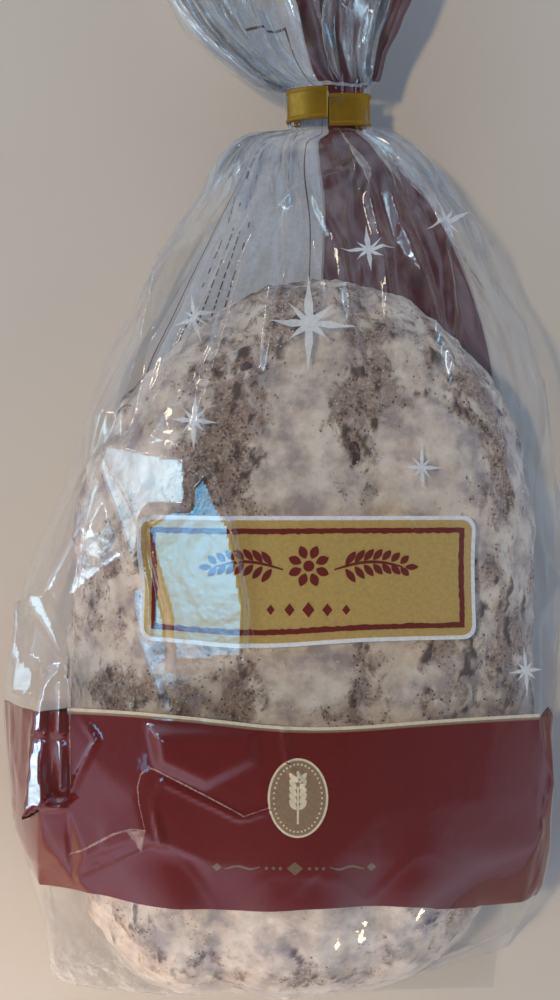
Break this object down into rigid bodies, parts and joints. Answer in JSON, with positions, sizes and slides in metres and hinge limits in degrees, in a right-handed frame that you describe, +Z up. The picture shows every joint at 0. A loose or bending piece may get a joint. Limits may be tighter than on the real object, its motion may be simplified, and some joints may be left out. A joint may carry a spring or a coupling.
{
  "type": "stollen in a clear film bag",
  "caption": "Sugar-dusted stollen loaf lying in a clear printed side-gusset film bag, its neck gathered and closed by a flat gold clip strip under a fanned end.",
  "frame": {"origin": "on the surface the pack lies on, under the middle of the loaf, in the flat back panel of the bag", "axes": "+Y along the loaf to the neck and the clip, +Z up through the printed front panel, +X to the right when the front panel is seen from above with the neck away"},
  "size_m": [0.1454, 0.3024, 0.063],
  "materials": {
    "film": "clear glossy biaxially stretched film, creased",
    "clip_gold": "gold laminated strip with a wire along each edge, satin",
    "sugared_crust": "baked dough crust, buttered and dusted with powdered sugar, matte",
    "dried_fruit": "raisins, wrinkled, dull",
    "print_red": "dark red ink printed on film, glossy",
    "print_gold": "gold ink printed on film, satin",
    "print_white": "white ink printed on film, glossy"
  },
  "bodies": {
    "root": {"bag": "film", "clip": "clip_gold"}
  },
  "joints": []
}
